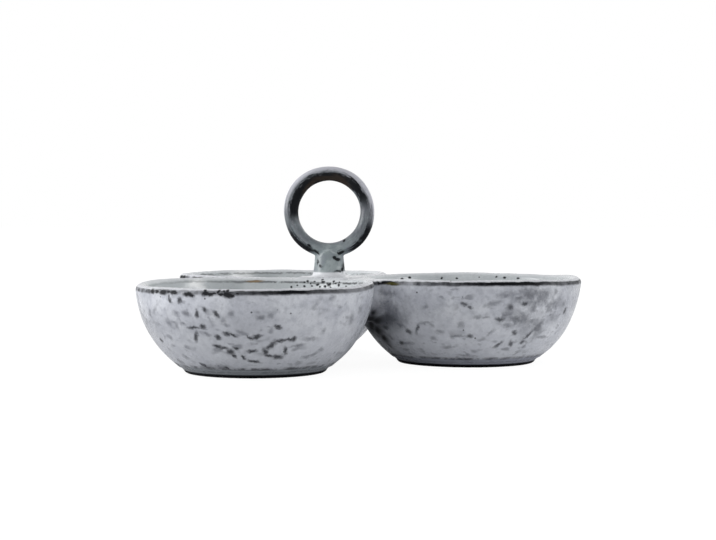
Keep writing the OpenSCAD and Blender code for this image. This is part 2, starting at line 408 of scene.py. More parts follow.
# Painted reflections of a lamp on the inner walls
FRONT_GLARE = [(197, 283, 8, 4.4, 8), (199.5, 286.6, 6, 3, -15)]
BACK_GLARE = [(242, 275.3, 14, 7, 0)]
RIGHT_MARKS = [
    (463.8, 304, 3.2, 2, -20), (470.4, 307.2, 2.8, 1.6, -25), (510, 306.8, 3, 2.8, 0),
    (500, 319.5, 4.4, 1.8, -5), (408.9, 331.3, 3.6, 1.6, -40), (417.7, 327.4, 3.2, 1.5, 75),
    (469.9, 336.2, 3.2, 1.7, -5), (514.4, 333.2, 2.8, 2.4, 30), (527.8, 335.6, 5.6, 1.4, 42),
    (521.7, 342.4, 2.4, 1.8, 20), (498.3, 344.6, 5, 1.3, 38), (510.6, 343.8, 3.6, 2, 95),
    (564.4, 310.8, 3.4, 1.3, 62), (525, 303.5, 2.2, 1.8, 0), (385, 327.4, 3, 2.4, 0),
    (401.5, 343, 1.8, 2.2, 80), (388.4, 344.4, 4.5, 1.4, -38),
]
# Painted shadow: the near-black patch deep in the crease between the front and the right bowl
RIGHT_CREASE_SHADOW = [
    (373, 313.5, 4.5, 3.6, 80), (371, 319, 6.5, 6, -60), (376, 321, 7, 6, -60), (371.5, 325.5, 8, 6, -50),
    (377.5, 330.5, 9, 4.6, -50), (384, 338, 8, 3, -48),
]
RIGHT_SMUDGES = [
    (494, 303.6, 8, 2.4, 16), (477.6, 317.3, 4, 1.5, 5), (486, 317, 4, 1.4, 0), (516.8, 319.2, 4, 2.8, 0),
    (426, 322.6, 5.5, 1.2, 5), (431.6, 325, 2.6, 1.2, -40), (416.8, 332.2, 2.4, 1.2, 80),
    (461, 324.6, 3.2, 2.6, 0), (440.4, 331.8, 3.6, 2, 0), (434, 338.4, 3, 1.8, 0),
    (447, 347.2, 4.6, 1.6, 5), (459, 336.4, 6.5, 1.2, 0), (407, 343, 6.5, 1.5, 0),
    (400.6, 325, 4, 1.3, -15), (387, 293.2, 9, 2, 2), (506, 295.2, 8.5, 2.6, 8), (530.8, 293, 9, 4.6, -8),
    (545, 292.6, 4, 1.8, -25), (520.6, 298, 3.2, 1.8, 10), (534, 307.8, 1.9, 4.4, 0),
    (555.6, 292.2, 1.8, 2.6, 0), (563.6, 303.6, 1.8, 2.6, 10), (532, 321, 2.4, 2, 0),
    (542, 322.4, 2.2, 2.6, 20), (507, 325, 3.8, 2, 0), (490, 333, 4, 1.3, 40), (523.4, 347.2, 2.2, 1.8, 60),
    (516.6, 352.8, 4, 1.2, 35), (543, 337.4, 5, 1.2, 0), (465.6, 355.6, 8, 1.2, -6),
]
RIGHT_CLOUDS = [
    (535, 300, 24, 12, -5), (383, 304, 9, 6, 60), (392, 317, 12, 10, 0), (520, 318, 20, 9, 0),
    (532, 330, 14, 10, 30), (552, 308, 12, 14, 0),
]
RIGHT_OLIVE = [(392.5, 283.9, 8.5, 1.7, -3)]
RIGHT_PINHOLES = [
    (401.9, 278.9, 1.8, 1.2, 0), (409.4, 277.6, 2.1, 1.2, 0), (441.9, 278, 1.8, 1.2, 30),
    (456.9, 278.2, 1.6, 1.2, 0), (496.3, 276.8, 1.2, 1, 0), (504.4, 277.6, 1.8, 1.4, 0),
    (518.1, 278.2, 1.8, 1.3, 0), (479, 277, 1, 0.8, 0),
]
HANDLE_MARKS = [
    (320.4, 266.2, 2, 1.4, -50), (339, 270.8, 4, 1.3, 10), (343.2, 267, 4.6, 1.4, 80),
    (309.5, 247, 3.3, 1.8, -40), (317.6, 262, 3, 0.9, 85),
]
HANDLE_PINHOLES = [
    (334.6, 257.8, 2.6, 1.9, -32), (337.4, 259.4, 3.6, 1.8, -4), (344.3, 240.5, 1.7, 1.5, 20),
    (341.2, 252.4, 4.4, 1.6, 24), (338.4, 253.4, 1.8, 1.2, -40), (316.4, 251.8, 4.4, 1.4, -36),
    (309, 245.6, 2.6, 1.4, -40), (342.4, 269.4, 1.4, 2.4, 0),
]
RING_UNDERSIDE = [(328, 178.6, 22, 2.2, 0), (343.4, 182.6, 13, 2.6, -38), (309.5, 185.6, 12, 2, 42)]
# Painted highlight on the arch where the stem meets the foot of the ring
HANDLE_ARCH_LIGHT = [(322, 254.2, 3.8, 0.9, 45), (327.6, 250.6, 4.6, 1, 5), (333.2, 252.4, 3.4, 0.9, -28)]


def smooth_step(low, high, value):
    share = np.clip((value - low) / (high - low), 0, 1)
    return share * share * (3 - 2 * share)


def lobe(angle, middle_deg, width_deg):
    """A smooth hump round one direction."""
    away = np.degrees(angle) - middle_deg
    away = (away + 180) % 360 - 180
    return np.exp(-((away / width_deg) ** 2))


def blend(first, second, soft):
    """The union of two distance fields, with a hollow curve where they meet."""
    near = np.maximum(soft - np.abs(first - second), 0) / soft
    return np.minimum(first, second) - near * near * soft / 4


def round_both(first, second, radius):
    """The meeting of two half-spaces, with the edge rounded to a radius."""
    over = np.hypot(np.maximum(radius + first, 0), np.maximum(radius + second, 0))
    return np.minimum(-radius, np.maximum(first, second)) + over


def lumps(points, size, seed):
    """Soft unevenness of about one size, from -1 to 1: waves in many directions."""
    random = np.random.default_rng(seed)
    ways = random.normal(size=(LUMP_WAVES, 3))
    ways /= np.linalg.norm(ways, axis=1)[:, None]
    ways *= 2 * math.pi / (size * random.uniform(*LUMP_SPREAD, (LUMP_WAVES, 1)))
    starts = random.uniform(0, 2 * math.pi, LUMP_WAVES)
    total = sum(np.sin(points @ way + start) for way, start in zip(ways, starts))
    return total / math.sqrt(2 * LUMP_WAVES)


def from_axis(name, x, y):
    """Distance and direction in plan from a bowl's own axis."""
    centre_x, centre_y = CENTRES[name]
    return np.hypot(x - centre_x, y - centre_y), np.arctan2(y - centre_y, x - centre_x)


def upright_box(x, y, radius, low_z, high_z):
    """Lowest and highest corner of the box round an upright cylinder."""
    return np.array([x - radius, y - radius, low_z]), np.array([x + radius, y + radius, high_z])


def rim_wave(name, angle):
    """Height of a rim above the common level."""
    wave = sum(height * lobe(angle, middle, width) for middle, width, height in RIM_HUMPS[name])
    for count, height, start in RIPPLES[name]:
        wave = wave + height * np.cos(count * angle + start)
    return wave


def outside(r, z):
    """Distance to a bowl's outside surface, negative in it."""
    across, down = r - BELLY_X, z - RIM_Z
    belly = np.hypot(np.maximum(across, 0), down) - BELLY_R
    foot_side = r - FOOT_R - FOOT_FLARE * z / FOOT_H
    foot = round_both(foot_side, -z, FOOT_EDGE)
    foot = np.maximum(foot, z - 2 * FOOT_H)
    below = blend(np.maximum(belly, FOOT_H - z), foot, FOOT_SOFT)
    lip = np.where(r > LIP_X, np.hypot(r - LIP_X, z - LIP_Z) - LIP_R, z - RIM_Z)
    return np.where(down > -LIP_SLOPE * across, lip, below)


def skin(r, z):
    """Distance to a bowl's outside, continued straight up above its rim."""
    across, down = r - BELLY_X, z - RIM_Z
    return np.hypot(np.maximum(across, 0), np.minimum(down, 0)) - BELLY_R


def bowl_profile(r, z):
    """Distance to the clay of a bowl, across its radius and its height."""
    across, down = r - BELLY_X, z - RIM_Z
    cup = np.hypot(np.maximum(across, 0), down) - CUP_R
    hollow = np.maximum(cup, FLOOR_Z - z)
    in_corner = (r > CORNER_X) & (-down * (CORNER_X - BELLY_X) > across * (RIM_Z - CORNER_Z))
    hollow = np.where(in_corner, np.hypot(r - CORNER_X, z - CORNER_Z) - CORNER_R, hollow)
    recess = np.maximum(r - (FOOT_R - FOOT_RING), z - RECESS)
    shell = np.maximum(outside(r, z), -hollow)
    shell = round_both(shell, -recess, FOOT_EDGE)
    lip = np.hypot(r - LIP_X, z - LIP_Z) - LIP_R
    return np.where(down > -LIP_SLOPE * across, lip, shell)


def bowl(name):
    """A thrown bowl, slightly oval, with its own waves along the rim."""
    squeeze, squeeze_deg = OVAL[name]
    hump_deg, hump_width, hump = BELLY_HUMPS[name]

    def distance(x, y, z):
        r, angle = from_axis(name, x, y)
        free = smooth_step(RIM_FREE_FROM, RIM_Z, z)
        low_belly = smooth_step(RIM_Z - HUMP_MARGIN, RIM_Z / 2, z)
        r = r - hump * lobe(angle, hump_deg, hump_width) * low_belly
        r = r - squeeze * free * np.cos(2 * angle - math.radians(2 * squeeze_deg))
        return bowl_profile(r, z - free * rim_wave(name, angle))

    return distance, *upright_box(*CENTRES[name], RIM_R, 0, RIM_Z)


def seam_axes(x, y, turn_deg):
    """Place along and across a seam, from the middle of the pot."""
    turn = math.radians(turn_deg)
    out = math.cos(turn) * (x - MIDDLE_X) + math.sin(turn) * y
    side = -math.sin(turn) * (x - MIDDLE_X) + math.cos(turn) * y
    return out, side


def seam(turn_deg, rise):
    """Clay pressed between two bowls, with a valley outside and a round keel below."""
    def distance(x, y, z):
        out, side = seam_axes(x, y, turn_deg)
        left = skin(np.hypot(out - SIDE_X, side - SIDE_Y), z)
        right = skin(np.hypot(out - SIDE_X, side + SIDE_Y), z)
        field = outside(MIRROR_D - np.hypot(out - VALLEY_X, side), z)
        keel = np.hypot(out - KEEL_X, z - KEEL_Z) - KEEL_R
        top = z - SEAM_TOP - rise
        for limit in (-left - BITE, -right - BITE, top, keel, out - VALLEY_X, LANDING_R / 2 - out):
            field = np.maximum(field, limit)
        return field

    turn = math.radians(turn_deg)
    half = SIDE_Y / 4
    corners = np.array([[0, -half], [VALLEY_X, -half], [VALLEY_X, half], [0, half]])
    turned = corners @ np.array([[math.cos(turn), math.sin(turn)], [-math.sin(turn), math.cos(turn)]])
    turned += [MIDDLE_X, 0]
    low = np.append(turned.min(0), RIM_Z - SEAM_DEPTH)
    return distance, low, np.append(turned.max(0), RIM_Z)


def landing():
    """A disc of clay that fills the space among the rims."""
    def distance(x, y, z):
        disc = np.hypot(x - MIDDLE_X, y) - LANDING_R
        field = np.maximum(disc, np.abs(z - SEAM_TOP + LANDING_T / 2) - LANDING_T / 2)
        for name in BOWLS:
            field = np.maximum(field, -skin(from_axis(name, x, y)[0], z) - BITE)
        return field

    return distance, *upright_box(MIDDLE_X, 0, LANDING_R, SEAM_TOP - LANDING_T, SEAM_TOP)


def stem():
    """A peg that tapers, flares at its root in the landing and laps up onto the ring."""
    root_z = SEAM_TOP - LANDING_T / 2
    top_z = RING_Z - RING_R + STEM_OVERLAP

    def distance(x, y, z):
        share = np.clip((z - STEM_BASE_Z) / (top_z - STEM_BASE_Z), 0, 1)
        spread = np.clip((STEM_BASE_Z - z) / FLARE_RISE, 0, 1)
        flare = FLARE_SPREAD * (1 - np.sqrt(1 - FLARE_SHARE * spread * spread))
        wide = STEM_BASE_HALF + (NECK_HALF - STEM_BASE_HALF) * share + flare
        deep = STEM_BASE_HALF + (NECK_SIDE - STEM_BASE_HALF) * share + flare
        across, along = x - RING_X, y
        near = np.hypot(across / wide, along / deep)
        slope = np.hypot(across / wide**2, along / deep**2)
        side = near * (near - 1) / np.maximum(slope, AXIS_SLOPE)
        return np.maximum(round_both(side, z - top_z, STEM_CORNER), root_z - z)

    return distance, *upright_box(RING_X, 0, STEM_BASE_HALF + FLARE_SPREAD, root_z, top_z)


def ring():
    """A coil with a flat band down its inside and outside."""
    coil_r = RING_R - RING_T / 2
    flat = (RING_DEPTH - RING_T) / 2

    def distance(x, y, z):
        out = np.hypot(x - RING_X, z - RING_Z) - coil_r
        return np.hypot(out, np.maximum(np.abs(y) - flat, 0)) - RING_T / 2

    reach = np.array([RING_R, RING_DEPTH / 2, RING_R])
    middle = np.array([RING_X, 0, RING_Z])
    return distance, middle - reach, middle + reach


# Every part: its piece's name, its field, its box, its softness and the CAD nodes that it stands for
PARTS = []


def add_part(piece, field, soft, slot, *nodes):
    distance, low, high = field
    PARTS.append({
        "piece": piece, "distance": distance, "low": low, "high": high,
        "soft": soft, "slot": slot, "nodes": nodes,
    })


for name in BOWLS:
    add_part(name + "_bowl", bowl(name), BOWL_SOFT, "bowl_glaze", "bowl_" + name, "base_" + name)
for name, turn_deg in SEAMS.items():
    add_part(name + "_seam", seam(turn_deg, SADDLE_RISE[name]), SEAM_SOFT, "joint_glaze", "seam_" + name)
add_part("middle_landing", landing(), LANDING_SOFT, "joint_glaze", "landing")
add_part("stem", stem(), STEM_SOFT, "handle_glaze", "handle_stem")
add_part("finger_ring", ring(), RING_SOFT, "handle_glaze", "handle_ring")


def pot(points):
    """Distance from points to the blended clay."""
    field = np.full(len(points), FAR, float)
    for part in PARTS:
        near = np.all((points > part["low"] - PAD) & (points < part["high"] + PAD), axis=1)
        part_field = part["distance"](*points[near].T)
        field[near] = blend(field[near], part_field, part["soft"])
    return field


def glazed(points):
    """Distance to the clay with the unevenness of hand work, which fades out where the feet stand."""
    uneven = sum(height * lumps(points, size, seed) for height, size, seed in LUMPS)
    return pot(points) - uneven * smooth_step(0, LUMPS_FULL_Z, points[:, 2])


def slope_of(field, points):
    """Gradient of a field, from four samples round each point."""
    corners = np.array([[1, -1, -1], [-1, -1, 1], [-1, 1, -1], [1, 1, 1]], float)
    total = sum(corner * field(points + SLOPE_STEP * corner)[:, None] for corner in corners)
    return total / (len(corners) * SLOPE_STEP)


def sample_grid():
    """The blended field on a grid, and which part each grid point belongs to (0 is outside)."""
    low = np.array(cad_low) / MM - NET_MARGIN
    high = np.array(cad_high) / MM + NET_MARGIN
    counts = np.ceil((high - low) / NET_STEP).astype(int) + 1
    field = np.full(counts, FAR, np.float32)
    best = np.full(counts, FAR, np.float32)
    owner = np.zeros(counts, np.int8)
    for number, part in enumerate(PARTS, 1):
        start = np.maximum(np.floor((part["low"] - PAD - low) / NET_STEP).astype(int), 0)
        stop = np.minimum(np.ceil((part["high"] + PAD - low) / NET_STEP).astype(int), counts)
        block = tuple(slice(a, b) for a, b in zip(start, stop))
        axes = [low[i] + NET_STEP * np.arange(start[i], stop[i]) for i in range(3)]
        x, y, z = np.meshgrid(*axes, indexing="ij")
        part_field = part["distance"](x, y, z).astype(np.float32)
        field[block] = blend(field[block], part_field, part["soft"])
        nearer = part_field < best[block]
        best[block][nearer] = part_field[nearer]
        owner[block][nearer] = number
    owner[field >= 0] = 0
    return low, field, owner


# A cell of the grid: its corners, and its edges as pairs of corners
CELL_CORNERS = np.array([[i, j, k] for i in (0, 1) for j in (0, 1) for k in (0, 1)])
CELL_EDGES = [
    (a, b) for a in range(8) for b in range(a + 1, 8)
    if np.abs(CELL_CORNERS[a] - CELL_CORNERS[b]).sum() == 1
]


def net_points(low, field, owner):
    """One point in each grid cell that a surface crosses, and the grid of their numbers."""
    cells = np.array(owner.shape) - 1
    same = np.ones(cells, bool)
    first = owner[:-1, :-1, :-1]
    for i, j, k in CELL_CORNERS[1:]:
        same &= owner[i:i + cells[0], j:j + cells[1], k:k + cells[2]] == first
    where = np.argwhere(~same)
    corners = where[:, None, :] + CELL_CORNERS
    at = tuple(np.moveaxis(corners, -1, 0))
    values, owners = field[at], owner[at]
    outer = (owners == 0).any(axis=1)
    total = np.zeros((len(where), 3))
    count = np.zeros(len(where))
    for a, b in CELL_EDGES:
        crossed = owners[:, a] != owners[:, b]
        open_edge = (owners[:, a] == 0) != (owners[:, b] == 0)
        used = crossed & np.where(outer, open_edge, True)
        gap = values[:, b] - values[:, a]
        share = np.where(open_edge & (gap != 0), -values[:, a] / np.where(gap == 0, 1, gap), 0.5)
        share = np.clip(share, EDGE_KEEP, 1 - EDGE_KEEP)[:, None]
        point = CELL_CORNERS[a] * (1 - share) + CELL_CORNERS[b] * share
        total += point * used[:, None]
        count += used
    points = low + NET_STEP * (where + total / count[:, None])
    numbers = np.full(cells, -1, np.int64)
    numbers[tuple(where.T)] = np.arange(len(where))
    return points, outer, numbers


def net_quads(owner, numbers):
    """Quads across every grid edge whose ends belong to different parts, with the owner on each side."""
    for axis in range(3):
        second, third = (axis + 1) % 3, (axis + 2) % 3
        here = [slice(1, -1)] * 3
        there = [slice(1, -1)] * 3
        here[axis], there[axis] = slice(0, -1), slice(1, None)
        below, above = owner[tuple(here)], owner[tuple(there)]
        where = np.argwhere(below != above)
        sides = below[tuple(where.T)], above[tuple(where.T)]
        base = where.copy()
        base[:, second] += 1
        base[:, third] += 1
        ring_steps = [(-1, -1), (0, -1), (0, 0), (-1, 0)]
        quad = []
        for step_second, step_third in ring_steps:
            cell = base.copy()
            cell[:, second] += step_second
            cell[:, third] += step_third
            quad.append(numbers[tuple(cell.T)])
        yield np.stack(quad, axis=1), sides


def settle(points, outer):
    """Draws the outer points onto the glazed surface, and gives their normals."""
    settled = points[outer]
    for _ in range(SETTLE_ROUNDS):
        slope = slope_of(glazed, settled)
        length = np.maximum((slope**2).sum(1), LEAST_SLOPE**2)
        move = -(glazed(settled) / length)[:, None] * slope
        settled = settled + np.clip(move, -NET_STEP, NET_STEP)
    settled[:, 2] = np.maximum(settled[:, 2], 0)
    points[outer] = settled
    normals = np.zeros_like(points)
    normals[:, 2] = 1
    slope = slope_of(glazed, settled)
    normals[outer] = slope / np.maximum(np.linalg.norm(slope, axis=1), TINY)[:, None]
    return points, normals


def outline(x, y):
    """Distance in plan to the outline of the whole rim, negative inside."""
    circles = [from_axis(name, x, y)[0] - RIM_R for name in BOWLS]
    field = np.hypot(x - MIDDLE_X, y) - SIDE_X
    for i in range(3):
        first, second = circles[i], circles[(i + 1) % 3]
        over = np.hypot(np.maximum(VALLEY_R - first, 0), np.maximum(VALLEY_R - second, 0))
        field = np.minimum(field, np.maximum(VALLEY_R, np.minimum(first, second)) - over)
    return field


def crest_height(x, y):
    """Height of the nearest rim's crest, lower across the saddles."""
    total, weights = 0, 0
    for name in BOWLS:
        r, angle = from_axis(name, x, y)
        weight = np.exp(-np.abs(r - LIP_X) / RIM_BLEND) + TINY
        total = total + weight * rim_wave(name, angle)
        weights = weights + weight
    height = RIM_Z + total / weights
    for name, turn_deg in SEAMS.items():
        out, side = seam_axes(x, y, turn_deg)
        dip = DIP_SHARE * (SADDLE_DIP - SADDLE_RISE[name])
        height = height - dip * np.exp(-((side / DIP_HALF) ** 2)) * smooth_step(*DIP_FADE, out)
    return height


def by_bowl(x, y, table):
    """A fact of the nearest rim: a base value, and lobes round that bowl's axis."""
    strength = np.zeros(len(x))
    nearest = np.full(len(x), np.inf)
    for name, (base, lobes) in table.items():
        r, angle = from_axis(name, x, y)
        here = base + sum(height * lobe(angle, middle, width) for middle, width, height in lobes)
        away = np.abs(r - RIM_R)
        strength = np.where(away < nearest, here, strength)
        nearest = np.minimum(nearest, away)
    return strength


def crease_painted_shade(x, y, z):
    """How dark the painted shade is: in every crease, and down the flank of the right bowl."""
    dark_and_shade = np.zeros(len(x))
    for turn_deg in SEAMS.values():
        place = *seam_axes(x, y, turn_deg), z
        away = [(here - middle) / reach for here, middle, reach in zip(place, CREASE_SHADE_PLACE, CREASE_SHADE_REACH)]
        dark_and_shade = np.maximum(dark_and_shade, np.exp(-sum(part**2 for part in away)))
    flank = lobe(from_axis("right", x, y)[1], *FLANK_SHADE_LOBE) * (1 - smooth_step(*FLANK_SHADE_FADE, z))
    return np.maximum(dark_and_shade, FLANK_SHADE_DEPTH * flank)


def saddle(x, y):
    """1 on the landing and the saddles, where the crest is whitest, and 0 on the bowls."""
    clear = np.min([from_axis(name, x, y)[0] - LIP_X for name in BOWLS], axis=0)
    near_middle = 1 - smooth_step(LANDING_R * 2, VALLEY_X + VALLEY_R, np.hypot(x - MIDDLE_X, y))
    return smooth_step(-LIP_R / 2, LIP_R / 2, clear) * near_middle


def facing_out(x, y, normals):
    """How far the clay faces away from its own bowl's axis, or away from the whole pot outside the bowls."""
    grad_x = outline(x + PLAN_STEP, y) - outline(x - PLAN_STEP, y)
    grad_y = outline(x, y + PLAN_STEP) - outline(x, y - PLAN_STEP)
    for name, (centre_x, centre_y) in CENTRES.items():
        within = from_axis(name, x, y)[0] < LIP_X
        grad_x = np.where(within, x - centre_x, grad_x)
        grad_y = np.where(within, y - centre_y, grad_y)
    size = np.maximum(np.hypot(grad_x, grad_y), TINY)
    return (normals[:, 0] * grad_x + normals[:, 1] * grad_y) / size


def inside_bowls(x, y, z):
    """1 on the inner side of a bowl's wall and on its floor, and 0 elsewhere."""
    depth = np.max([-skin(from_axis(name, x, y)[0], z) for name in BOWLS], axis=0)
    return smooth_step(*INSIDE_FADE, depth) * (z > FLOOR_Z - INSIDE_MARGIN)


def surface_facts(points, normals):
    """What the glaze needs to know at each point, as named attributes."""
    x, y, z = points.T
    inside = inside_bowls(x, y, z)
    ring_out = np.stack([x - RING_X, z - RING_Z], axis=1)
    ring_out /= np.maximum(np.linalg.norm(ring_out, axis=1), TINY)[:, None]
    return {
        "below_rim": crest_height(x, y) - z,
        "facing_out": facing_out(x, y, normals),
        "line_strength": by_bowl(x, y, LINE_LOBES),
        "line_ragged": by_bowl(x, y, RAGGED_LOBES),
        "inner_line": by_bowl(x, y, INNER_LOBES),
        "inside": inside,
        "saddle": saddle(x, y),
        # painted shade in the creases and on the right bowl's flank
        "crease": crease_painted_shade(x, y, z) * (1 - inside),
        "ring_band": normals[:, 0] * ring_out[:, 0] + normals[:, 2] * ring_out[:, 1],
        "ring_side": ring_out[:, 0],
        "ring_up": ring_out[:, 1],
    }


def add_piece(part, points, normals, facts, quads):
    """One part's closed mesh, with its facts and normals, as a piece that rides on the root."""
    used, local = np.unique(quads, return_inverse=True)
    local = local.reshape(quads.shape)
    mesh = bpy.data.meshes.new(part["piece"])
    mesh.from_pydata((points[used] * MM).tolist(), [], local.tolist())
    for fact, values in facts.items():
        attribute = mesh.attributes.new(fact, "FLOAT", "POINT")
        attribute.data.foreach_set("value", values[used].astype(np.float32))
    mesh.polygons.foreach_set("use_smooth", np.ones(len(quads), bool))
    mesh.update()
    mesh.normals_split_custom_set_from_vertices(normals[used].tolist())
    piece = bpy.data.objects.new(part["piece"], mesh)
    bpy.context.scene.collection.objects.link(piece)
    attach(piece, "root")
    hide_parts(*part["nodes"])
    return piece


def build_pieces():
    """All pieces by name, cut from one net over the blended clay."""
    low, field, owner = sample_grid()
    points, outer, numbers = net_points(low, field, owner)
    points, normals = settle(points, outer)
    facts = surface_facts(points, normals)
    faces = {number: [] for number in range(1, len(PARTS) + 1)}
    for quads, (below, above) in net_quads(owner, numbers):
        for number, found in faces.items():
            found.append(quads[below == number])
            found.append(quads[above == number][:, ::-1])
    return {
        part["piece"]: add_piece(part, points, normals, facts, np.concatenate(faces[number]))
        for number, part in enumerate(PARTS, 1)
    }


def camera_axes():
    """The camera's right, up and forward directions."""
    tilt, turn = CAMERA_TILT, CAMERA_TURN
    spin = np.array([[math.cos(turn), -math.sin(turn), 0], [math.sin(turn), math.cos(turn), 0], [0, 0, 1]])
    right = spin @ [1, 0, 0]
    up = spin @ [0, math.cos(tilt), math.sin(tilt)]
    forward = spin @ [0, math.sin(tilt), -math.cos(tilt)]
    return right, up, forward


def seen_at(pixels):
    """Where the sight line through each pixel of the photograph meets the pot, and the normal there."""
    right, up, forward = camera_axes()
    pixels = np.array(pixels, float)
    across = (pixels[:, 0] - IMAGE_WIDTH / 2) / FOCAL_PX
    rise = (IMAGE_HEIGHT / 2 - pixels[:, 1]) / FOCAL_PX
    ways = forward + across[:, None] * right + rise[:, None] * up
    ways /= np.linalg.norm(ways, axis=1)[:, None]
    points = CAMERA_PLACE + SIGHT_START * ways
    for _ in range(SIGHT_STEPS):
        points = points + SIGHT_SHARE * np.minimum(pot(points), FAR)[:, None] * ways
    normals = slope_of(pot, points)
    return points, normals / np.linalg.norm(normals, axis=1)[:, None]


class Value:
    """A number that a shader works out at each point, for use in plain sums and products."""

    def __init__(self, shader, socket):
        self.shader = shader
        self.socket = socket

    def __add__(self, other):
        return self.shader.math("ADD", self, other)

    def __sub__(self, other):
        return self.shader.math("SUBTRACT", self, other)

    def __mul__(self, other):
        return self.shader.math("MULTIPLY", self, other)

    def fade(self, start, full, depth=1):
        """A smooth rise from 0 where the value is start to the depth where it is full."""
        rising = full > start
        feeds = {
            "Value": self, "From Min": min(start, full), "From Max": max(start, full),
            "To Min": 0 if rising else 1, "To Max": 1 if rising else 0,
        }
        node = self.shader.add("ShaderNodeMapRange", feeds, interpolation_type="SMOOTHSTEP")
        faded = Value(self.shader, node.outputs["Result"])
        return faded if depth == 1 else faded * depth


def largest(first, *others):
    for other in others:
        first = first.shader.math("MAXIMUM", first, other)
    return first


def mix(mask, under, over):
    """One colour over another, as far as a mask lets it."""
    node = mask.shader.add("ShaderNodeMix", {"Factor": mask}, data_type="RGBA")
    places = [place for place, socket in enumerate(node.inputs) if socket.type == "RGBA"]
    mask.shader.feed(node, zip(places, (under, over)))
    return [socket for socket in node.outputs if socket.type == "RGBA"][0]


class Shader:
    """Short calls that put together the nodes of a material or of the world."""

    def __init__(self, owner, surface="Principled BSDF"):
        owner.use_nodes = True
        self.tree = owner.node_tree
        self.surface = self.tree.nodes[surface]

    def add(self, kind, feeds=(), **settings):
        """A new node with its settings, and what goes into its sockets by name or number."""
        node = self.tree.nodes.new(kind)
        for key, value in settings.items():
            setattr(node, key, value)
        self.feed(node, feeds)
        return node

    def feed(self, node, feeds):
        """Joins sockets to other nodes' outputs, or sets them to plain values."""
        for name, source in dict(feeds).items():
            if isinstance(source, Value):
                source = source.socket
            if isinstance(source, bpy.types.NodeSocket):
                self.tree.links.new(source, node.inputs[name])
            else:
                node.inputs[name].default_value = source

    def value(self, kind, output, feeds=(), **settings):
        return Value(self, self.add(kind, feeds, **settings).outputs[output])

    def math(self, operation, first, second):
        return self.value("ShaderNodeMath", 0, {0: first, 1: second}, operation=operation)

    def vector(self, operation, first, second):
        return self.value("ShaderNodeVectorMath", "Vector", {0: first, 1: second}, operation=operation)

    def fact(self, name):
        return self.value("ShaderNodeAttribute", "Fac", attribute_name=name)

    def noise(self, where, size_mm, detail, roughness=0.5, distortion=0, output="Fac"):
        feeds = {
            "Vector": where, "Scale": 1 / (size_mm * MM), "Detail": detail,
            "Roughness": roughness, "Distortion": distortion,
        }
        return self.value("ShaderNodeTexNoise", output, feeds)

    def split(self, where):
        """The x, y and z of a place."""
        node = self.add("ShaderNodeSeparateXYZ", {0: where})
        return [Value(self, node.outputs[axis]) for axis in "XYZ"]


def marks_mask(shader, where, marks, softness, stray_mm):
    """Masks of several marks' cores and halos: small flat ellipsoids laid on the surface.

    A spherical gradient is 1 in the middle of its ball and 0 at its surface.
    """
    places, normals = seen_at([mark[:2] for mark in marks])
    right, up, forward = camera_axes()
    stray = shader.noise(where, *STRAY_NOISE, output="Color")
    stray = shader.vector("SUBTRACT", stray, (0.5,) * 3)
    stray = shader.vector("MULTIPLY", stray, (stray_mm * MM,) * 3)
    where = shader.vector("ADD", where, stray)
    balls = []
    for (_, _, length, width, tilt_deg), place, normal in zip(marks, places, normals):
        tilt = math.radians(tilt_deg)
        seen_along = math.cos(tilt) * right + math.sin(tilt) * up
        seen_across = math.cos(tilt) * up - math.sin(tilt) * right
        along = seen_along - forward * (seen_along @ normal) / (forward @ normal)
        stretch = min(np.linalg.norm(along), MOST_STRETCH)
        along /= np.linalg.norm(along)
        across = np.cross(normal, along)
        spread = min(1 / abs(across @ seen_across), MOST_STRETCH)
        reach = np.array([stretch * length / 2, spread * width / 2, MARK_DEPTH]) * MARK_REACH
        turned = Matrix([along, across, normal]).transposed().to_euler()
        feeds = {"Vector": where, "Location": place * MM, "Rotation": turned, "Scale": reach * MM}
        laid = shader.value("ShaderNodeMapping", "Vector", feeds, vector_type="TEXTURE")
        feeds = {"Vector": laid}
        balls.append(shader.value("ShaderNodeTexGradient", "Fac", feeds, gradient_type="SPHERICAL"))
    edge_low = 1 - (1 + softness) / MARK_REACH
    edge_high = 1 - (1 - softness) / MARK_REACH
    nearness = largest(*balls)
    return nearness.fade(edge_low, edge_high), nearness.fade(0, edge_high)


def body_colour(shader, where, mottle):
    """Clouds over the pale ground, with fine mottling."""
    cloud = shader.noise(where, *CLOUD_NOISE)
    fine = shader.noise(where, *FINE_NOISE)
    colour = mix(cloud.fade(0.36, 0.6), PALE, BODY)
    colour = mix(fine.fade(0.46, 0.74, 0.35), colour, CLOUD)
    return mix(mottle.fade(0.42, 0.74, 0.4), colour, CLOUD)


def dabs(shader, where, pattern):
    """Noise for short soft dabs, longer than they are high."""
    squashed = shader.value("ShaderNodeMapping", "Vector", {"Vector": where, "Scale": DAB_SQUASH})
    return shader.noise(squashed, *pattern)


def strokes(shader, where, height):
    """Dabs in clusters, thickest low on the belly."""
    cluster = shader.noise(where, *CLUSTER_NOISE) + height.fade(*STROKES_LOW)
    large = dabs(shader, where, LARGE_DABS).fade(0.56, 0.72)
    small = dabs(shader, where, SMALL_DABS).fade(0.6, 0.74, 0.7)
    return largest(large, small) * cluster.fade(0.46, 0.6)


def pinprick(shader, where):
    """A small hole in some cells of a random pattern."""
    cells = shader.add("ShaderNodeTexVoronoi", {"Vector": where, "Scale": 1 / (PINPRICK_PITCH * MM)})
    hole = Value(shader, cells.outputs["Distance"]).fade(0.11, 0.06)
    chosen = shader.value("ShaderNodeSeparateColor", 0, {0: cells.outputs["Color"]})
    return hole * chosen.fade(0.78, 0.8, 0.8)


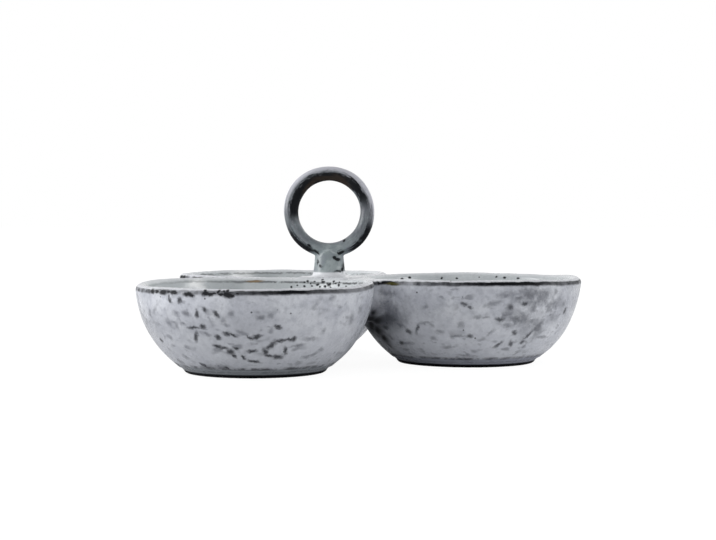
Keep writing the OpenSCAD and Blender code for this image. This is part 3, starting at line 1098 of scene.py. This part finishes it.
def rim_breaks_and_shade(shader, where, below, wander):
    """Dark glaze just under the lip: a line where it is strong, blotches where it is ragged; and a line
    inside, partly painted shade where the inner wall meets a saddle.
    """
    facing = shader.fact("facing_out")
    ragged = shader.fact("line_ragged")
    blotch = shader.noise(where, *BLOTCH_NOISE)
    line_at = below + (wander - 0.5) * (ragged + 0.7) * 1.8
    strength = shader.fact("line_strength") + (blotch - 0.5) * ragged * 4.5
    line = line_at.fade(*LINE_FROM) * line_at.fade(*LINE_TO) * facing.fade(0.2, 0.5)
    line = line * strength.fade(0, 0.6)
    inner = line_at.fade(*INNER_FROM) * line_at.fade(*INNER_TO) * facing.fade(-0.3, -0.6)
    inner = inner * blotch.fade(0.36, 0.5, 0.7) * shader.fact("inner_line")
    return largest(line, inner)


def foot_dark_and_contact_shadow(height, wander):
    """A thin dark line under the belly, and along the standing edge bare dark clay with a painted contact
    shadow.
    """
    line = height.fade(*FOOT_LINE_FROM) * height.fade(*FOOT_LINE_TO) * wander.fade(0.35, 0.6, 0.72)
    return largest(line, height.fade(*STANDING_EDGE))


def ring_streaks(shader):
    """Fine streaks that run round the ring."""
    round_it, across_it = STREAK_SPREAD
    feeds = {
        0: shader.fact("ring_side") * (round_it * MM),
        1: shader.fact("ring_up") * (round_it * MM),
        2: shader.fact("ring_band") * (across_it * MM),
    }
    return shader.noise(shader.value("ShaderNodeCombineXYZ", 0, feeds), *STREAK_NOISE)


def ring_black_and_shade(shader, wander, streaks):
    """Black on the ring, partly black glaze and partly painted shade: inside it at the top and left, outside
    it at the bottom.
    """
    wobble = (wander - 0.5) * 0.7 + (streaks - 0.5) * 1.9
    band = shader.fact("ring_band") + wobble
    side, up = shader.fact("ring_side"), shader.fact("ring_up")
    patches = []
    for clock_deg, lean, fade_round, fades_across in RING_BLACK_AND_SHADE:
        clock = math.radians(clock_deg)
        towards = side * math.cos(clock) + up * math.sin(clock)
        leaning = band - side * lean
        patch = towards.fade(*fade_round)
        for fade_across in fades_across:
            patch = patch * leaning.fade(*fade_across)
        patches.append(patch)
    return largest(*patches) * shader.fact("below_rim").fade(*BLACK_HEIGHT)


def handle_colour(shader, mottle, streaks):
    """Grey-green, darker and streaked on the ring, with painted shade on its flanks and a painted highlight
    along its outer edge at the top.
    """
    below = shader.fact("below_rim")
    side, up, band = [shader.fact(name) for name in ("ring_side", "ring_up", "ring_band")]
    colour = mix(mottle.fade(0.52, 0.34, 0.4), HANDLE, ARCH)
    colour = mix(mottle.fade(0.5, 0.7, 0.7), colour, CLOUD)
    on_ring = below.fade(*ON_RING)
    colour = mix(on_ring * streaks.fade(0.3, 0.6), colour, RING)
    colour = mix(on_ring * streaks.fade(0.5, 0.64, 0.4), colour, HANDLE_PALE)
    # painted shade on the ring's right and left flanks
    right = side.fade(0.5, 0.95) * up.fade(0.5, 0.1)
    left = side.fade(-0.5, -0.95) * band.fade(0, 0.4)
    colour = mix(largest(left, right) * on_ring * 0.42, colour, STAIN_AND_SHADE)
    # painted highlight on the ring's top and along its outer edge
    leaning = up + side * 0.15
    top = leaning.fade(-0.2, 0.7) * band.fade(0.1, 0.7)
    edge = leaning.fade(-0.35, 0.05) * band.fade(0.74, 0.9)
    colour = mix(largest(top, edge) * below.fade(*LIT_HEIGHT), colour, HANDLE_PALE)
    return mix(below.fade(*STEM_ROOT), colour, LIP)


def bowl_colour(shader, where, height, below, mottle, foot_tone, stroke_depth):
    """Body colour with painted light low on the belly, a greener inside, a paler crest, strokes outside, a
    greener foot and painted shade in the creases.
    """
    inside = shader.fact("inside")
    colour = body_colour(shader, where, mottle)
    # painted light low on the belly
    colour = mix(height.fade(*BELLY_PAINTED_LIGHT), colour, LOW_PAINTED_LIGHT)
    dark = strokes(shader, where, height) * inside.fade(0.3, 0) * stroke_depth
    colour = mix(dark, colour, STAIN_AND_SHADE)
    colour = mix(inside * 0.75, colour, INSIDE)
    colour = mix(inside * height.fade(*INSIDE_POOL), colour, INSIDE_LOW)
    whiteness = shader.fact("saddle") * 0.45 + 0.45
    crest = below.fade(*CREST_FROM) * below.fade(*CREST_TO) * whiteness
    colour = mix(crest, colour, LIP)
    colour = mix(height.fade(*FOOT_TONED), colour, foot_tone)
    # painted shade in the creases and on the right bowl's flank
    return mix(shader.fact("crease") * 0.82, colour, STAIN_AND_SHADE)


def glaze(
    name, marks=(), smudges=(), pinholes=(), clouds=(), dark_and_shade=(), warm=(), warm_tone=RUST,
    glare=(), glare_tone=GLARE, glare_depth=1, depth=0.8, stroke_depth=0.5, dark_and_shade_edge=0.5,
    foot_tone=FOOT, handle=False,
):
    """The reactive glaze: ground colour, named marks, painted highlights and shadow, and dark breaks along
    the edges.
    """
    material = bpy.data.materials.new(name)
    shader = Shader(material)
    where = shader.add("ShaderNodeTexCoord").outputs["Object"]
    mottle = shader.noise(where, *MOTTLE_NOISE)
    wander = shader.noise(where, *WANDER_NOISE)
    dark = pinprick(shader, where)
    if handle:
        streaks = ring_streaks(shader)
        colour = handle_colour(shader, mottle, streaks)
        dark = largest(dark, ring_black_and_shade(shader, wander, streaks))
    else:
        height = shader.split(where)[2] * (1 / MM)
        below = shader.fact("below_rim")
        colour = bowl_colour(shader, where, height, below, mottle, foot_tone, stroke_depth)
        dark = largest(dark, rim_breaks_and_shade(shader, where, below, wander), foot_dark_and_contact_shadow(height, wander))
    # painted highlights and reflections
    if glare:
        core, _ = marks_mask(shader, where, glare, *GLARE_EDGE)
        colour = mix(core * glare_depth, colour, glare_tone)
    if clouds:
        core, _ = marks_mask(shader, where, clouds, *CLOUD_EDGE)
        colour = mix(core * mottle.fade(0.28, 0.58) * 0.62, colour, STAIN_AND_SHADE)
    if smudges:
        core, halo = marks_mask(shader, where, smudges, *SMUDGE_EDGE)
        colour = mix(core * 0.42, colour, STAIN_AND_SHADE)
        colour = mix(halo * 0.16, colour, STAIN_AND_SHADE)
    if marks:
        core, halo = marks_mask(shader, where, marks, *MARK_EDGE)
        colour = mix(halo * 0.4, colour, STAIN_AND_SHADE)
        dark = largest(dark, core * depth)
    # black marks, which on the right glaze are painted shadow deep in the crease
    if dark_and_shade:
        core, _ = marks_mask(shader, where, dark_and_shade, dark_and_shade_edge, DARK_AND_SHADE_STRAY)
        dark = largest(dark, core * 0.97)
    if pinholes:
        core, _ = marks_mask(shader, where, pinholes, *PINHOLE_EDGE)
        dark = largest(dark, core * 0.95)
    colour = mix(dark, colour, INK)
    if warm:
        core, _ = marks_mask(shader, where, warm, *WARM_EDGE)
        colour = mix(core, colour, warm_tone)
    finish_glaze(shader, colour, dark, mottle, HANDLE_ROUGHNESS if handle else BOWL_ROUGHNESS)
    return material


def finish_glaze(shader, colour, dark, mottle, roughness):
    """Semi-gloss where the glaze is pale, dull where it breaks dark, with a soft unevenness."""
    bump = {"Strength": 0.35, "Distance": BUMP_HEIGHT * MM, "Height": mottle}
    shader.feed(shader.surface, {
        "Base Color": colour,
        "Roughness": mottle * 0.2 + roughness + dark * 0.3,
        "Specular IOR Level": dark * -0.42 + 0.52,
        "Normal": shader.value("ShaderNodeBump", "Normal", bump),
    })


def white_floor():
    """A white floor that keeps the pot's shadow."""
    mesh = bpy.data.meshes.new("floor")
    signs = [(-1, -1), (1, -1), (1, 1), (-1, 1)]
    mesh.from_pydata([(x * FLOOR_REACH, y * FLOOR_REACH, 0) for x, y in signs], [], [(0, 1, 2, 3)])
    floor = bpy.data.objects.new("floor", mesh)
    bpy.context.scene.collection.objects.link(floor)
    material = bpy.data.materials.new("floor_white")
    shader = Shader(material)
    plain = {"Base Color": FLOOR_COLOUR, "Roughness": 0.9, "Specular IOR Level": 0}
    shader.feed(shader.surface, plain)
    glow = shader.add("ShaderNodeEmission", {"Strength": FLOOR_GLOW})
    seen = shader.value("ShaderNodeLightPath", "Is Camera Ray")
    feeds = {0: seen * FLOOR_GLOW_SHARE, 1: shader.surface.outputs[0], 2: glow.outputs[0]}
    mixed = shader.value("ShaderNodeMixShader", 0, feeds)
    shader.feed(shader.tree.nodes["Material Output"], {"Surface": mixed})
    mesh.materials.append(material)


def studio():
    """Surroundings that are white behind the pot and dimmer in front of it, and three soft lamps."""
    scene = bpy.context.scene
    scene.world = bpy.data.worlds.new("studio")
    shader = Shader(scene.world, "Background")
    x, y, _ = shader.split(shader.add("ShaderNodeTexCoord").outputs["Generated"])
    room = (y - x * ROOM_LEAN).fade(-0.6, 0.5) * (ROOM_BACK - ROOM_FRONT) + ROOM_FRONT
    seen = shader.value("ShaderNodeLightPath", "Is Camera Ray")
    shader.feed(shader.surface, {"Color": (1, 1, 1, 1), "Strength": largest(room, seen)})
    for name, place, size, power in LAMPS:
        lamp = bpy.data.lights.new(name, "AREA")
        lamp.shape = "DISK"
        lamp.size = size
        lamp.energy = power
        holder = bpy.data.objects.new(name, lamp)
        holder.location = place
        aim = Vector(LAMP_AIM) - Vector(place)
        holder.rotation_euler = aim.to_track_quat("-Z", "Y").to_euler()
        scene.collection.objects.link(holder)
    scene.view_settings.view_transform = "Standard"


def photo_camera():
    """The camera that took the photograph, as fitted."""
    data = bpy.data.cameras.new("photo_camera")
    data.sensor_width = SENSOR_MM
    data.lens = FOCAL_PX * SENSOR_MM / IMAGE_WIDTH
    camera = bpy.data.objects.new("photo_camera", data)
    camera.location = CAMERA_PLACE * MM
    camera.rotation_euler = (CAMERA_TILT, 0, CAMERA_TURN)
    bpy.context.scene.collection.objects.link(camera)
    bpy.context.scene.camera = camera


def dress(pieces):
    """Gives every piece its glaze."""
    plain = glaze("plain_glaze")
    back = glaze("back_glaze", glare=BACK_GLARE, stroke_depth=0.85)
    front = glaze("front_glaze", FRONT_MARKS, FRONT_SMUDGES, FRONT_PINHOLES, dark_and_shade=FRONT_RIM_MARKS,
                  warm=FRONT_RUST, glare=FRONT_GLARE)
    right = glaze("right_glaze", RIGHT_MARKS, RIGHT_SMUDGES, RIGHT_PINHOLES, RIGHT_CLOUDS, RIGHT_CREASE_SHADOW,
                  warm=RIGHT_OLIVE, warm_tone=OLIVE, depth=0.62, dark_and_shade_edge=0.95, foot_tone=FOOT_BLUE)
    handle = glaze("handle_glaze", HANDLE_MARKS, pinholes=HANDLE_PINHOLES, warm=RING_UNDERSIDE,
                   warm_tone=UNDERSIDE, glare=HANDLE_ARCH_LIGHT, glare_tone=ARCH, glare_depth=0.55, handle=True)
    chosen = {
        "front_bowl": front, "right_bowl": right, "back_bowl": back, "front_right_seam": right,
        "stem": handle, "finger_ring": handle,
    }
    for name, piece in pieces.items():
        piece.data.materials.append(chosen.get(name, plain))


photo_camera()
dress(build_pieces())
white_floor()
studio()
